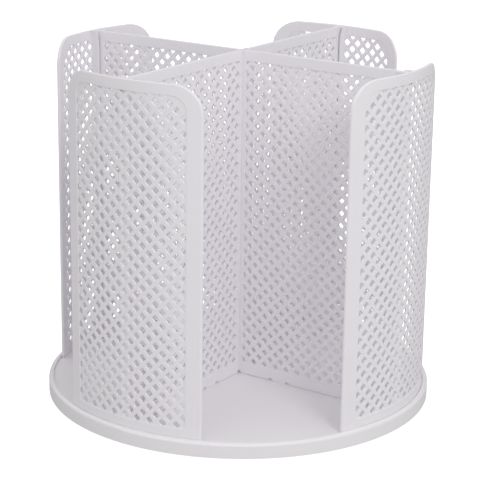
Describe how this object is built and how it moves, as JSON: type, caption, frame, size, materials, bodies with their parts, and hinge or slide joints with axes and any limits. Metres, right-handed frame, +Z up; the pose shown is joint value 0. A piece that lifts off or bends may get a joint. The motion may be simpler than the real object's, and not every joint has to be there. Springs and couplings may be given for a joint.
{
  "type": "revolving tool caddy",
  "caption": "Round revolving desk caddy with crossing lattice dividers and curved lattice outer panels that form open compartments over a turntable tray.",
  "frame": {"origin": "on the table under the pivot, at the centre of the foot pads' lower faces", "axes": "+Z up along the pivot, +X along one divider to the front right panel, +Y along the other divider to the back right panel"},
  "size_m": [0.29, 0.29, 0.262],
  "materials": {
    "white_moulding": "satin moulded polypropylene",
    "base_moulding": "fine matt moulded polypropylene",
    "cage_moulding": "natural acetal",
    "bearing_steel": "polished ball",
    "zinc_steel": "bright zinc plate",
    "pad_rubber": "matt grey-white rubber"
  },
  "bodies": {
    "base": {"base_plate": "base_moulding", "foot_pad_1": "pad_rubber", "foot_pad_2": "pad_rubber", "foot_pad_3": "pad_rubber", "foot_pad_4": "pad_rubber", "foot_pad_5": "pad_rubber", "foot_pad_6": "pad_rubber", "foot_pad_7": "pad_rubber", "foot_pad_8": "pad_rubber"},
    "race": {"ball_cage": "cage_moulding", "bearing_balls": "bearing_steel"},
    "turntable": {"turntable_tray": "white_moulding", "divider_slotted_above": "white_moulding", "divider_slotted_below": "white_moulding", "outer_panel_front_right": "white_moulding", "outer_panel_back_right": "white_moulding", "outer_panel_back_left": "white_moulding", "outer_panel_front_left": "white_moulding", "pivot_screw": "zinc_steel", "pivot_washer": "zinc_steel"}
  },
  "joints": [
    {"name": "turntable_spin", "type": "hinge", "parent": "base", "child": "turntable", "pos_m": [0, 0, 0.006], "axis": [0, 0, 1], "continuous": true},
    {"name": "race_orbit", "type": "hinge", "parent": "base", "child": "race", "pos_m": [0, 0, 0.006], "axis": [0, 0, 1], "continuous": true}
  ],
  "couplings": [
    {"joint": "race_orbit", "follows": "turntable_spin", "ratio": 0.5}
  ]
}
